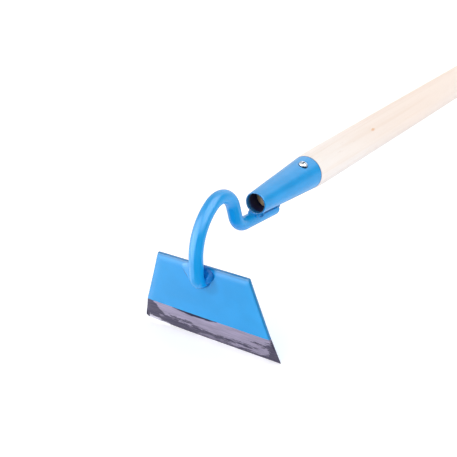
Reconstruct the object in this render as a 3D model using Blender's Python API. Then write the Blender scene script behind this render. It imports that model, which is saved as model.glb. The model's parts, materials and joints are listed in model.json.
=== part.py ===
"""Garden draw hoe: a trapezoid blade on a bent round bar, welded under a conical
socket that holds a long wooden handle. Lengths are in metres, angles in degrees.

Head frame, used until everything is laid down at the end: X runs across the blade,
+Y runs along the handle towards the user, +Z is up. Its origin is the centre of the
socket's small mouth, moved sideways into the plane of the bent bar.
"""
import math

import bmesh
import bpy
from mathutils import Matrix, Vector

# Fits
CLEARANCE = 0.0003        # between pieces that touch
EMBED = 0.002             # how far a cutter runs past what it cuts

# Socket: rolled steel cone
SOCKET_LENGTH = 0.088
SOCKET_MOUTH_DIAMETER = 0.0204
SOCKET_REAR_DIAMETER = 0.0326
SOCKET_WALL = 0.0015
SOCKET_LIP = 0.0004       # rounding of the rims
SOCKET_SIDE_SHIFT = 0.0044    # the cone sits this far to one side of the bar

# Bent bar
BAR_DIAMETER = 0.012
BAR_TAIL_REACH = 0.0395   # bar under the cone, measured back from the mouth
BAR_TAIL_CHAMFER = 0.0018
BAR_LEAD = 0.0107         # straight bar in front of the mouth
LOWER_BEND_RADIUS = 0.0155
LOWER_BEND_ANGLE = 69.0
RISE_LENGTH = 0.0105
TOP_BEND_RADIUS = 0.021
TOP_BEND_ANGLE = 102.0
SWEEP_RADIUS = 0.045
SWEEP_ANGLE = 62.0
DROP_LENGTH = 0.0135
STUB_BEND_RADIUS = 0.008
STUB_BEND_ANGLE = 94.0

# Blade
BLADE_TOP_WIDTH = 0.090
BLADE_EDGE_WIDTH = 0.139
BLADE_HEIGHT = 0.073
BLADE_THICKNESS = 0.0035
BLADE_LAND = 0.0004       # thickness left at the cutting edge
BEVEL_HEIGHT = 0.0225     # ground part of the front face
BLADE_EDGE_ROUNDING = 0.0005
STUB_BELOW_TOP = 0.0123   # bar's end, measured down from the blade's top edge

# Welds
BLADE_WELD_DIAMETER = 0.0205
BLADE_WELD_THROAT = 0.0048
FRONT_WELD_SIZE = (0.017, 0.013, 0.009)     # across, along, high
FRONT_WELD_PLACE = 0.0035                   # behind the mouth
REAR_WELD_SIZE = (0.012, 0.009, 0.007)
REAR_WELD_PLACE = 0.0012                    # ahead of the bar's tail end

# Screw
SCREW_BEFORE_RIM = 0.016  # ahead of the cone's rear rim
SCREW_ROLL = 21.0         # round the cone from the top towards +X
SCREW_HEAD_DIAMETER = 0.008
SCREW_HEAD_DOME = 0.0013
SCREW_SINK_DEPTH = 0.0018
SCREW_SHANK_DIAMETER = 0.0045
SCREW_LENGTH = 0.020
SCREW_TIP_LENGTH = 0.004
CROSS_ARM_LENGTH = 0.0044
CROSS_ARM_WIDTH = 0.0009
CROSS_DEPTH = 0.0013

# Wooden handle
HANDLE_LENGTH = 1.200
HANDLE_INSET = 0.018      # its front end lies this far inside the mouth
HANDLE_DIAMETER_AT_SOCKET = 0.0322
HANDLE_SHOULDER_LENGTH = 0.023
HANDLE_DIAMETER_AFTER_SHOULDER = 0.0346
HANDLE_GRIP_DIAMETER = 0.0356
HANDLE_SWELL_LENGTH = 0.200
HANDLE_BUTT_ROUNDING = 0.006

# Roundness
BAR_SIDES = 24
BEND_STEP = 6.0           # degrees per ring along a bend
TURNED_SIDES = 48
SCREW_SIDES = 32
DOME_STEPS = 4
BUTT_STEPS = 5

# Worked out from the sizes above
MOUTH_RADIUS = SOCKET_MOUTH_DIAMETER / 2
REAR_RADIUS = SOCKET_REAR_DIAMETER / 2
BAR_RADIUS = BAR_DIAMETER / 2
SCREW_PLACE = SOCKET_LENGTH - SCREW_BEFORE_RIM     # along the cone from its mouth
CONE_SLOPE = (REAR_RADIUS - MOUTH_RADIUS) / SOCKET_LENGTH
CONE_ANGLE = math.atan(CONE_SLOPE)
WALL_ACROSS = SOCKET_WALL / math.cos(CONE_ANGLE)
AXIS_TO_Y = Matrix.Rotation(math.radians(-90), 4, "X")     # turns +Z into +Y


def clear_scene():
    for obj in list(bpy.data.objects):
        bpy.data.objects.remove(obj, do_unlink=True)


def make_material(name, color, roughness, metallic):
    material = bpy.data.materials.new(name)
    material.use_nodes = True
    shader = material.node_tree.nodes["Principled BSDF"]
    shader.inputs["Base Color"].default_value = (*color, 1.0)
    shader.inputs["Roughness"].default_value = roughness
    shader.inputs["Metallic"].default_value = metallic
    material.diffuse_color = (*color, 1.0)
    return material


def finish_piece(bm, name, material, parent, smooth=True):
    """Turn a bmesh into an object of the hoe."""
    bmesh.ops.recalc_face_normals(bm, faces=bm.faces)
    mesh = bpy.data.meshes.new(name)
    bm.to_mesh(mesh)
    bm.free()
    if smooth:
        mesh.shade_smooth()
        mesh.set_sharp_from_angle(angle=math.radians(35))
    if material:
        mesh.materials.append(material)
    obj = bpy.data.objects.new(name, mesh)
    bpy.context.scene.collection.objects.link(obj)
    obj.parent = parent
    return obj


def make_cutter(bm, name, parent):
    """A shape that only cuts others."""
    cutter = finish_piece(bm, name, None, parent, smooth=False)
    cutter.hide_render = True
    cutter.display_type = "WIRE"
    return cutter


def cut_away(obj, cutter):
    modifier = obj.modifiers.new("cut_" + cutter.name, "BOOLEAN")
    modifier.operation = "DIFFERENCE"
    modifier.solver = "EXACT"
    modifier.object = cutter


def turned(profile, sides):
    """Spin a profile of (radius, height) points round Z."""
    bm = bmesh.new()
    verts = [bm.verts.new((radius, 0.0, height)) for radius, height in profile]
    edges = [bm.edges.new(pair) for pair in zip(verts, verts[1:])]
    if profile[0][0] > 0:
        edges.append(bm.edges.new((verts[-1], verts[0])))
    bmesh.ops.spin(bm, geom=verts + edges, cent=(0, 0, 0), axis=(0, 0, 1),
                   angle=math.tau, steps=sides, use_merge=True)
    bmesh.ops.remove_doubles(bm, verts=bm.verts, dist=1e-6)
    return bm


def quarter_turn(steps):
    """Cosine and sine from 0 to 90 degrees, both ends left out."""
    angles = [math.radians(90 * i / steps) for i in range(1, steps)]
    return [(math.cos(angle), math.sin(angle)) for angle in angles]


def new_verts(extruded):
    return [item for item in extruded["geom"] if isinstance(item, bmesh.types.BMVert)]


def new_faces(extruded, key="geom"):
    return [item for item in extruded[key] if isinstance(item, bmesh.types.BMFace)]


def cone_radius(y):
    """Outer radius of the socket, y along it from the mouth."""
    return MOUTH_RADIUS + CONE_SLOPE * y


# The bent bar's route, in the plane X = 0

def bar_height(y):
    """Height of the bar's axis where it lies against the cone."""
    reach = cone_radius(y) + (BAR_RADIUS + CLEARANCE) / math.cos(CONE_ANGLE)
    return -math.sqrt(reach ** 2 - SOCKET_SIDE_SHIFT ** 2)


def bar_start():
    """Tail end of the bar's axis and its heading, in degrees from +Y towards +Z."""
    tail = Vector((0, BAR_TAIL_REACH, bar_height(BAR_TAIL_REACH)))
    mouth = Vector((0, 0, bar_height(0)))
    heading = math.degrees(math.atan2(mouth.z - tail.z, mouth.y - tail.y))
    return tail, heading, (mouth - tail).length


def bar_moves(tail_length):
    """Straight runs and bends: ("run", length) or ("bend", radius, signed angle)."""
    return [("run", tail_length + BAR_LEAD),
            ("bend", LOWER_BEND_RADIUS, -LOWER_BEND_ANGLE),
            ("run", RISE_LENGTH),
            ("bend", TOP_BEND_RADIUS, TOP_BEND_ANGLE),
            ("bend", SWEEP_RADIUS, SWEEP_ANGLE),
            ("run", DROP_LENGTH),
            ("bend", STUB_BEND_RADIUS, STUB_BEND_ANGLE)]


def direction(heading):
    return Vector((0, math.cos(math.radians(heading)), math.sin(math.radians(heading))))


def bent_bar(radius, chamfer=0.0, stretch=0.0):
    """Push a round section along the route. Returns the bmesh, the end and its heading."""
    place, heading, tail_length = bar_start()
    place = place - direction(heading) * stretch
    moves = bar_moves(tail_length + stretch)
    if stretch:
        moves.append(("run", stretch))
    bm = bmesh.new()
    across = Matrix.Rotation(math.radians(heading - 90), 4, "X")
    bmesh.ops.create_circle(bm, cap_ends=True, segments=BAR_SIDES, radius=radius,
                            matrix=Matrix.Translation(place) @ across)
    first_rim = list(bm.edges)
    first_cap = list(bm.faces)
    section = first_cap
    for move in moves:
        if move[0] == "run":
            step = direction(heading) * move[1]
            grown = bmesh.ops.extrude_face_region(bm, geom=section)
            bmesh.ops.translate(bm, vec=step, verts=new_verts(grown))
            if section[0].is_valid and section != first_cap:
                bmesh.ops.delete(bm, geom=section, context="FACES_ONLY")
            section = new_faces(grown)
            place = place + step
        else:
            _, bend_radius, angle = move
            side = math.copysign(90, angle)
            centre = place + direction(heading + side) * bend_radius
            geom = section + list(section[0].edges) + list(section[0].verts)
            grown = bmesh.ops.spin(bm, geom=geom, cent=centre, axis=(1, 0, 0),
                                   angle=math.radians(angle),
                                   steps=math.ceil(abs(angle) / BEND_STEP))
            section = new_faces(grown, "geom_last")
            heading += angle
            place = centre - direction(heading + side) * bend_radius
    if chamfer:
        bmesh.ops.bevel(bm, geom=first_rim, offset=chamfer, segments=3, profile=0.5, affect="EDGES")
    return bm, place, heading


# Pieces

def build_neck_rod(parent, material):
    bm, end, heading = bent_bar(BAR_RADIUS, chamfer=BAR_TAIL_CHAMFER)
    return finish_piece(bm, "neck_rod", material, parent), end, heading


def blade_matrix(bar_end, heading):
    """Blade frame: origin on the front face at the bar's end, Y into the plate, Z up the face."""
    into_plate = direction(heading)
    place = bar_end + into_plate * CLEARANCE
    return Matrix.Translation(place) @ Matrix.Rotation(math.radians(heading), 4, "X")


def build_blade(parent, material, frame):
    """Trapezoid plate, ground on the front towards its lower edge."""
    flare = (BLADE_EDGE_WIDTH - BLADE_TOP_WIDTH) / 2 / BLADE_HEIGHT
    section = [(0.0, 0.0), (0.0, BLADE_HEIGHT - BEVEL_HEIGHT),
               (BLADE_THICKNESS - BLADE_LAND, BLADE_HEIGHT),
               (BLADE_THICKNESS, BLADE_HEIGHT), (BLADE_THICKNESS, 0.0)]
    bm = bmesh.new()
    rims = []
    for side in (-1, 1):
        rim = []
        for depth, down in section:
            half_width = BLADE_TOP_WIDTH / 2 + flare * down
            rim.append(bm.verts.new((side * half_width, depth, STUB_BELOW_TOP - down)))
        rims.append(rim)
        bm.faces.new(rim)
    count = len(section)
    for i in range(count):
        j = (i + 1) % count
        bm.faces.new((rims[0][i], rims[0][j], rims[1][j], rims[1][i]))
    # every edge is eased, apart from the two at the cutting edge
    weight = bm.edges.layers.float.new("bevel_weight_edge")
    lowest = STUB_BELOW_TOP - BLADE_HEIGHT
    for edge in bm.edges:
        sharp = all(abs(v.co.z - lowest) < BLADE_LAND for v in edge.verts)
        grind_line = all(abs(v.co.z - lowest - BEVEL_HEIGHT) < BLADE_LAND for v in edge.verts)
        edge[weight] = 0.0 if sharp or grind_line else 1.0
    blade = finish_piece(bm, "blade", material, parent, smooth=False)
    blade.matrix_local = frame
    easing = blade.modifiers.new("eased_edges", "BEVEL")
    easing.width = BLADE_EDGE_ROUNDING
    easing.segments = 2
    easing.limit_method = "WEIGHT"
    return blade


def build_blade_weld(parent, material, frame, bar_cutter):
    """Fillet round the bar's end, on the blade's front face."""
    foot = BLADE_WELD_DIAMETER / 2
    crown = BAR_RADIUS + (foot - BAR_RADIUS) / 3
    throat = BLADE_WELD_THROAT
    profile = [(0, 0), (foot, 0), (foot * 0.99, throat * 0.15), (foot * 0.88, throat * 0.45),
               (crown, throat * 0.92), (BAR_RADIUS, throat), (0, throat)]
    bm = turned(profile, TURNED_SIDES)
    weld = finish_piece(bm, "blade_weld", material, parent)
    forwards = Matrix.Rotation(math.radians(90), 4, "X")       # turns +Z into -Y
    weld.matrix_local = frame @ Matrix.Translation((0, -CLEARANCE, 0)) @ forwards
    cut_away(weld, bar_cutter)
    return weld


def socket_frame():
    """Turned pieces of the handle's line: +Z along it from the socket's mouth."""
    return Matrix.Translation((SOCKET_SIDE_SHIFT, 0, 0)) @ AXIS_TO_Y


def build_socket(parent, material, screw_cutter):
    lip = SOCKET_LIP
    inner = MOUTH_RADIUS - WALL_ACROSS
    inner_rear = REAR_RADIUS - WALL_ACROSS
    profile = [(inner, lip), (inner + lip, 0), (MOUTH_RADIUS - lip, 0), (MOUTH_RADIUS, lip),
               (REAR_RADIUS, SOCKET_LENGTH - lip), (REAR_RADIUS - lip, SOCKET_LENGTH),
               (inner_rear + lip, SOCKET_LENGTH), (inner_rear, SOCKET_LENGTH - lip)]
    socket = finish_piece(turned(profile, TURNED_SIDES), "socket", material, parent)
    socket.matrix_local = socket_frame()
    cut_away(socket, screw_cutter)
    return socket


def build_socket_cutter(parent):
    """The cone as a solid, grown by the clearance, for cutting the welds."""
    ends = [-CLEARANCE, SOCKET_LENGTH]
    grow = CLEARANCE / math.cos(CONE_ANGLE)
    profile = [(0, ends[0]), (cone_radius(ends[0]) + grow, ends[0]),
               (cone_radius(ends[1]) + grow, ends[1]), (0, ends[1])]
    cutter = make_cutter(turned(profile, TURNED_SIDES), "socket_cutter", parent)
    cutter.matrix_local = socket_frame()
    return cutter


def build_socket_weld(name, parent, material, place, size, cutters):
    """Bead on the line where the bar and the cone meet, cut to fit both."""
    bm = bmesh.new()
    bmesh.ops.create_icosphere(bm, subdivisions=3, radius=0.5)
    bmesh.ops.scale(bm, vec=size, verts=bm.verts)
    weld = finish_piece(bm, name, material, parent)
    axis = Vector((SOCKET_SIDE_SHIFT, place, 0))
    bar = Vector((0, place, bar_height(place)))
    contact = axis + (bar - axis).normalized() * cone_radius(place)
    roll = math.atan2(SOCKET_SIDE_SHIFT, -bar.z)
    weld.matrix_local = Matrix.Translation(contact) @ Matrix.Rotation(roll, 4, "Y")
    for cutter in cutters:
        cut_away(weld, cutter)
    return weld


def screw_frame():
    """Screw frame: origin on the cone's surface, +Z straight out of it."""
    round_cone = Matrix.Rotation(math.radians(SCREW_ROLL), 4, "Y")
    lean = Matrix.Rotation(CONE_ANGLE, 4, "X")
    out = Matrix.Translation((0, 0, cone_radius(SCREW_PLACE)))
    return Matrix.Translation((SOCKET_SIDE_SHIFT, SCREW_PLACE, 0)) @ round_cone @ out @ lean


def screw_profile(grow):
    """Countersunk screw with a domed head, or with grow its hole."""
    head = SCREW_HEAD_DIAMETER / 2 + grow
    shank = SCREW_SHANK_DIAMETER / 2 + grow
    tip = -SCREW_LENGTH - grow
    return [(0, tip), (shank * 0.15, tip), (shank, tip + SCREW_TIP_LENGTH),
            (shank, -SCREW_SINK_DEPTH - grow), (head, 0), (head, CLEARANCE)]


def build_screw(parent, material):
    head = SCREW_HEAD_DIAMETER / 2
    rise = SCREW_HEAD_DOME - CLEARANCE
    dome = [(head * cosine, CLEARANCE + rise * sine) for cosine, sine in quarter_turn(DOME_STEPS)]
    profile = screw_profile(0.0) + dome + [(0, SCREW_HEAD_DOME)]
    screw = finish_piece(turned(profile, SCREW_SIDES), "fixing_screw", material, parent)
    screw.matrix_local = screw_frame()
    recess = bmesh.new()
    reach, half = CROSS_ARM_LENGTH / 2, CROSS_ARM_WIDTH / 2
    outline = []
    for quarter in range(4):
        turn = Matrix.Rotation(math.radians(90 * quarter), 3, "Z")
        outline += [turn @ Vector((x, y, SCREW_HEAD_DOME - CROSS_DEPTH))
                    for x, y in ((reach, -half), (reach, half), (half, half))]
    floor = recess.faces.new([recess.verts.new(point) for point in outline])
    grown = bmesh.ops.extrude_face_region(recess, geom=[floor])
    bmesh.ops.translate(recess, vec=(0, 0, CROSS_DEPTH + EMBED), verts=new_verts(grown))
    cross = make_cutter(recess, "cross_cutter", parent)
    cross.matrix_local = screw_frame()
    cut_away(screw, cross)
    return screw


def build_screw_cutter(parent):
    above = SCREW_HEAD_DIAMETER
    hole = screw_profile(CLEARANCE)
    profile = hole + [(hole[-1][0], above), (0, above)]
    cutter = make_cutter(turned(profile, SCREW_SIDES), "screw_cutter", parent)
    cutter.matrix_local = screw_frame()
    return cutter


def build_handle(parent, material, screw_cutter):
    """Wooden stick: turned down to fill the cone, a shoulder at its rim, then a slight swell."""
    start = HANDLE_INSET
    end = HANDLE_INSET + HANDLE_LENGTH
    rim = SOCKET_LENGTH + CLEARANCE
    inside = WALL_ACROSS + CLEARANCE / math.cos(CONE_ANGLE)
    shoulder = HANDLE_DIAMETER_AT_SOCKET / 2
    after = HANDLE_DIAMETER_AFTER_SHOULDER / 2
    grip = HANDLE_GRIP_DIAMETER / 2
    swell_end = rim + HANDLE_SHOULDER_LENGTH + HANDLE_SWELL_LENGTH
    profile = [(0, start), (cone_radius(start) - inside, start), (cone_radius(rim) - inside, rim),
               (shoulder, rim)]
    for cosine, sine in quarter_turn(DOME_STEPS):
        profile.append((shoulder + (after - shoulder) * sine, rim + HANDLE_SHOULDER_LENGTH * (1 - cosine)))
    profile += [(after, rim + HANDLE_SHOULDER_LENGTH), (grip, swell_end),
                (grip, end - HANDLE_BUTT_ROUNDING)]
    for cosine, sine in quarter_turn(BUTT_STEPS):
        profile.append((grip - HANDLE_BUTT_ROUNDING * (1 - cosine),
                        end - HANDLE_BUTT_ROUNDING * (1 - sine)))
    profile += [(grip - HANDLE_BUTT_ROUNDING, end), (0, end)]
    handle = finish_piece(turned(profile, TURNED_SIDES), "handle", material, parent)
    handle.matrix_local = socket_frame()
    cut_away(handle, screw_cutter)
    return handle


def lay_down(frame_empty, blade_frame):
    """Tilt the hoe until its cutting edge and the handle's butt share the ground."""
    edge = blade_frame @ Vector((0, BLADE_THICKNESS, STUB_BELOW_TOP - BLADE_HEIGHT))
    butt_end = HANDLE_INSET + HANDLE_LENGTH - HANDLE_BUTT_ROUNDING
    butt = Vector((0, butt_end, -HANDLE_GRIP_DIAMETER / 2))
    slope = math.atan2(butt.z - edge.z, butt.y - edge.y)
    frame_empty.rotation_euler = (-slope, 0, 0)
    bpy.context.view_layer.update()
    pieces = [obj for obj in bpy.data.objects if obj.type == "MESH" and not obj.hide_render]
    corners = [obj.matrix_world @ vert.co for obj in pieces for vert in obj.data.vertices]
    low = Vector([min(c[i] for c in corners) for i in range(3)])
    high = Vector([max(c[i] for c in corners) for i in range(3)])
    # the origin ends up on the ground under the middle of the hoe
    frame_empty.location = (-(low.x + high.x) / 2, -(low.y + high.y) / 2, -low.z)
    bpy.context.view_layer.update()


def build_hoe():
    clear_scene()
    blue = make_material("blue_enamel", (0.03, 0.29, 0.80), 0.3, 0.0)
    blade_blue = make_material("blade_enamel", (0.05, 0.34, 0.85), 0.3, 0.0)
    weld_blue = make_material("weld_enamel", (0.02, 0.25, 0.72), 0.35, 0.0)
    wood = make_material("birch", (0.86, 0.73, 0.62), 0.55, 0.0)
    zinc = make_material("zinc", (0.80, 0.81, 0.82), 0.3, 1.0)

    hoe = bpy.data.objects.new("hoe_frame", None)
    bpy.context.scene.collection.objects.link(hoe)

    _, bar_end, heading = build_neck_rod(hoe, blue)
    blade_frame = blade_matrix(bar_end, heading)
    bar_cutter_mesh, _, _ = bent_bar(BAR_RADIUS + CLEARANCE, stretch=EMBED)
    bar_cutter = make_cutter(bar_cutter_mesh, "bar_cutter", hoe)
    socket_cutter = build_socket_cutter(hoe)
    screw_cutter = build_screw_cutter(hoe)

    build_blade(hoe, blade_blue, blade_frame)
    build_blade_weld(hoe, weld_blue, blade_frame, bar_cutter)
    build_socket(hoe, blue, screw_cutter)
    build_socket_weld("socket_weld_front", hoe, weld_blue, FRONT_WELD_PLACE, FRONT_WELD_SIZE,
                      (socket_cutter, bar_cutter))
    build_socket_weld("socket_weld_rear", hoe, weld_blue, BAR_TAIL_REACH - REAR_WELD_PLACE,
                      REAR_WELD_SIZE, (socket_cutter, bar_cutter))
    build_screw(hoe, zinc)
    build_handle(hoe, wood, screw_cutter)
    lay_down(hoe, blade_frame)


build_hoe()
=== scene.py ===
import json
import math

import bpy
import numpy as np
from mathutils import Matrix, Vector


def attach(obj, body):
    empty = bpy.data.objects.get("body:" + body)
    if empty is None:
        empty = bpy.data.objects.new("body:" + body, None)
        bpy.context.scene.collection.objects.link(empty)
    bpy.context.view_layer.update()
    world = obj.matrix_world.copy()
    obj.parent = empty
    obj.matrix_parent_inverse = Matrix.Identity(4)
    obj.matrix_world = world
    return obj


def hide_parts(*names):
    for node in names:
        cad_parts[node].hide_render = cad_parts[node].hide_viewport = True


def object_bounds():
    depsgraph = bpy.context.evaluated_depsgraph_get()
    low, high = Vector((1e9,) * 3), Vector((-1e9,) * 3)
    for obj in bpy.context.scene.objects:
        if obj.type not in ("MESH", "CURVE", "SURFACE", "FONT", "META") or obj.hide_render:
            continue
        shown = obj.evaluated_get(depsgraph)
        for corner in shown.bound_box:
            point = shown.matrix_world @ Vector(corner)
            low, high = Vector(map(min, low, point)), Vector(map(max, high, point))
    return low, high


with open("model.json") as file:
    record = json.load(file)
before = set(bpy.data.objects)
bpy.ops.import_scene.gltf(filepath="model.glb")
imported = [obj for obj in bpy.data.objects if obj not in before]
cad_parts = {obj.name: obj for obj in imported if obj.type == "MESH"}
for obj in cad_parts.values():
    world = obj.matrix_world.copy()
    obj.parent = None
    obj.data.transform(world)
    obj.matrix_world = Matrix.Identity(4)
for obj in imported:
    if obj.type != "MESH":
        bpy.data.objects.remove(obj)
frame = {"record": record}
cadLow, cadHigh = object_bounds()
print("hoe: frame loaded")


# Where the head lies

# Everything is worked out in the head's own frame: x across the blade, y along the handle from
# the socket's mouth, z up, with the bent bar in the plane x = 0. The handle's butt in the record
# says how that frame leans and where it stands.
headPlace = {
    "handleEnd": 1.218,  # butt, along the handle from the socket's mouth
    "sideShift": 0.0044,  # the socket and handle sit this far to the side of the bar
}

buttMount = next(m for m in frame["record"]["mounts"] if m["name"] == "handle_butt")
lean = math.atan2(buttMount["axis"][2], buttMount["axis"][1])
headTurn = np.array(Matrix.Rotation(lean, 3, "X"))
mouthCentre = np.array([headPlace["sideShift"], 0.0, 0.0])
headOrigin = np.array(buttMount["pos_m"]) - headTurn @ (mouthCentre + [0.0, headPlace["handleEnd"], 0.0])


def toWorld(points):
    # points of the head's frame turned by its lean and moved to where it stands
    return np.asarray(points) @ headTurn.T + headOrigin


# Meshes

def pack(*parts):
    # the parts side by side along a new last axis, such as x, y and z of many points
    return np.stack(np.broadcast_arrays(*parts), axis=-1)


def fullTurn(count):
    return np.linspace(0, 2 * math.pi, count, endpoint=False)


def fade(value, low, high):
    # 0 up to low, 1 from high on, straight in between
    return np.clip((value - low) / (high - low), 0.0, 1.0)


def slowWaves(places, seed, reach, count=5):
    # a smooth uneven field from -1 to 1: the mean of a few sine waves in fixed mixed directions
    mixer = np.random.default_rng(seed)
    directions = mixer.normal(size=(count, 3)) / reach
    phases = mixer.uniform(0, 2 * math.pi, count)
    return np.sin(places @ directions.T + phases).mean(axis=-1)


def gridFaces(rows, columns):
    # quads between neighbouring closed rings of points, counted ring by ring
    ring, column = np.meshgrid(np.arange(rows - 1), np.arange(columns), indexing="ij")
    start, following = ring * columns, (column + 1) % columns
    corners = [start + column, start + following, start + columns + following, start + columns + column]
    return pack(*corners).reshape(-1, 4)


def makeMesh(name, points, *faces):
    mesh = bpy.data.meshes.new(name)
    mesh.from_pydata(toWorld(points).tolist(), [], [face for part in faces for face in part.tolist()])
    mesh.validate()
    return mesh


def tubeMesh(name, rings):
    # a run of closed rings; a fan of triangles round one middle point closes each end
    rows, columns = rings.shape[:2]
    points = np.r_[rings.reshape(-1, 3), [rings[0].mean(axis=0), rings[-1].mean(axis=0)]]
    column = np.arange(columns)
    following = (column + 1) % columns
    last = (rows - 1) * columns
    first = pack(rows * columns, following, column)
    second = pack(rows * columns + 1, last + column, last + following)
    return makeMesh(name, points, gridFaces(rows, columns)[:, ::-1], first[:, ::-1], second[:, ::-1])


def shellMesh(name, rings):
    # a run of closed rings whose last ring joins the first, as on the skin of a pipe
    rows, columns = rings.shape[:2]
    looped = gridFaces(rows + 1, columns) % (rows * columns)
    return makeMesh(name, rings.reshape(-1, 3), looped[:, ::-1])


def addObject(name, data):
    thing = bpy.data.objects.new(name, data)
    bpy.context.scene.collection.objects.link(thing)
    return thing


def addPiece(mesh, material, nodeName, sharpAngle=40.0):
    mesh.shade_smooth()
    mesh.set_sharp_from_angle(angle=math.radians(sharpAngle))
    mesh.materials.append(material)
    piece = addObject(mesh.name, mesh)
    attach(piece, "root")
    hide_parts(nodeName)
    print("hoe:", mesh.name, len(mesh.polygons), "faces")


# Node helpers

class Wire:
    # one output of a node; plus, minus and times with it add a math node
    def __init__(self, node, output):
        self.node, self.tree, self.socket = node, node.id_data, node.outputs[output]

    def __add__(self, other):
        return calc("ADD", self, other)

    def __mul__(self, other):
        return calc("MULTIPLY", self, other)

    def __sub__(self, other):
        return calc("SUBTRACT", self, other)

    def __rsub__(self, other):
        return calc("SUBTRACT", other, self)


def feed(node, inputs):
    # links an input to a wire or sets it to a value, to which a colour gets its alpha
    for key, value in inputs.items():
        socket = node.inputs[key]
        if isinstance(value, Wire):
            value.tree.links.new(value.socket, socket)
        else:
            socket.default_value = (*value, 1.0) if socket.type == "RGBA" else value


def addNode(kind, output, inputs, tree=None, **settings):
    # a new node in the tree of the wires that feed it, and a wire from one of its outputs
    tree = tree or next(value.tree for value in inputs.values() if isinstance(value, Wire))
    node = tree.nodes.new("ShaderNode" + kind)
    for key, value in settings.items():
        setattr(node, key, value)
    feed(node, inputs)
    return Wire(node, output)


def calc(operation, *values):
    return addNode("Math", "Value", dict(enumerate(values)), operation=operation)


def ramp(value, low, high, bottom=0.0, top=1.0, kind="SMOOTHSTEP"):
    # value from low to high becomes bottom to top
    inputs = {"Value": value, "From Min": low, "From Max": high, "To Min": bottom, "To Max": top}
    return addNode("MapRange", "Result", inputs, interpolation_type=kind)


def above(value, limit, soft):
    # 0 below the limit and 1 above it
    return ramp(value - limit, -soft, soft)


def noise(vector, scale, detail, roughness=0.5, distortion=0.0):
    inputs = {"Vector": vector, "Scale": scale, "Detail": detail, "Roughness": roughness,
              "Distortion": distortion}
    return addNode("TexNoise", "Fac", inputs)


def patches(vector, scale, detail, low, high, bottom=0.0, top=1.0, roughness=0.5):
    # noise whose values from low to high become bottom to top
    return ramp(noise(vector, scale, detail, roughness), low, high, bottom, top)


def swing(value, reach):
    # from 0..1 to half the reach either way
    return value * reach - reach / 2


def stretch(vector, x, y, z):
    return addNode("Mapping", "Vector", {"Vector": vector, "Scale": (x, y, z)})


def distanceTo(vector, point):
    return addNode("VectorMath", "Value", {0: vector, 1: tuple(point)}, operation="DISTANCE")


def split(vector):
    node = addNode("SeparateXYZ", "X", {"Vector": vector}).node
    return [Wire(node, axis) for axis in "XYZ"]


def mixColor(share, first, second, blend="MIX"):
    # the factor is input 0 of a mix node, its colours are inputs 6 and 7 and its result output 2
    return addNode("Mix", 2, {0: share, 6: first, 7: second}, data_type="RGBA", blend_type=blend)


def shade(color, tone):
    gray = addNode("CombineColor", "Color", {"Red": tone, "Green": tone, "Blue": tone})
    return mixColor(1.0, color, gray, "MULTIPLY")


def toned(share, tone):
    # from 1 where the share is 0 to the tone where it is 1
    return share * (tone - 1.0) + 1.0


def bump(height, depth):
    return addNode("Bump", "Normal", {"Height": height, "Distance": depth, "Strength": 1.0})


def newMaterial(look):
    # the look turns object coordinates into inputs of the shader, and gives the material its name
    material = bpy.data.materials.new(look.__name__)
    material.use_nodes = True
    tree = material.node_tree
    feed(tree.nodes["Principled BSDF"], look(addNode("TexCoord", "Object", {}, tree)))
    return material


def ownPlace(place, origin, tilt):
    # object coordinates turned and moved into a frame of the head's that is tilted round x
    inputs = {"Vector": place, "Location": toWorld(origin), "Rotation": (lean + tilt, 0.0, 0.0)}
    return addNode("Mapping", "Vector", inputs, vector_type="TEXTURE")


# Blue enamel

# A pattern is a noise's scale and detail, the two values it is read between and, where they
# aren't 0 and 1, what these become, then the noise's roughness. Rows of two or four numbers are
# read by ramp.
enamelLook = {
    "deep": (0.003, 0.312, 0.745), "bright": (0.005, 0.342, 0.81), "dust": (0.003, 0.22, 0.56),
    "creaseShadow": (0.001, 0.1, 0.36),
    "grooveShade": (0.0004, 0.12, 0.34),  # painted shade in the groove under the cone
    # the darker blue for under the bar's bend is painted shade
    "shadeUnderBend": (0.0003, 0.12, 0.37), "weldFootShade": (0.0005, 0.105, 0.35),
    "weldShadow": (0.001, 0.245, 0.58),
    # the darker blues over the weld beads are painted shade
    "overWeldShade": ((0.0008, 0.125, 0.41), (0.001, 0.18, 0.55)),
    "overSocketWeldShade": ((0.0006, 0.14, 0.38), (0.001, 0.245, 0.62)),
    "clouds": (38.0, 4.0, 0.32, 0.68), "specks": (1500.0, 1.0, 0.7, 0.78, 0.0, 0.35),
    "sheen": (95.0, 5.0, 0.35, 0.7, 0.17, 0.26, 0.6), "orangePeel": (420.0, 2.0),
    "slowPeel": (91.2, 2.0), "peelShares": (0.35, 0.9), "peelDepth": 0.000035,
    "matte": 0.35,  # added to the roughness under the bar's bend and where the coat is missing
    "weldPatches": (210.0, 2.0, 0.35, 0.65), "weldSheen": (0.0, 1.0, 0.2, 0.3), "weldSpecular": 0.2,
}


def withDust(place, color):
    return mixColor(patches(place, *enamelLook["specks"]), color, enamelLook["dust"])


def enamelColor(place):
    # slow clouds between a deep and a bright blue, with faint darker specks of dust
    clouds = patches(place, *enamelLook["clouds"])
    return withDust(place, mixColor(clouds, enamelLook["deep"], enamelLook["bright"]))


def enamelHeight(place):
    # orange peel, with a slower unevenness of the coat
    fineShare, slowShare = enamelLook["peelShares"]
    peel = noise(place, *enamelLook["orangePeel"])
    return peel * fineShare + noise(place, *enamelLook["slowPeel"]) * slowShare


def enamelBump(place):
    return bump(enamelHeight(place), enamelLook["peelDepth"])


def enamelCoat(place, color, matte):
    # matte is the share of the surface that is rougher: under the bar's bend or bare
    roughness = matte * enamelLook["matte"] + patches(place, *enamelLook["sheen"])
    return {"Base Color": color, "Roughness": roughness, "Normal": enamelBump(place)}


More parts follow.
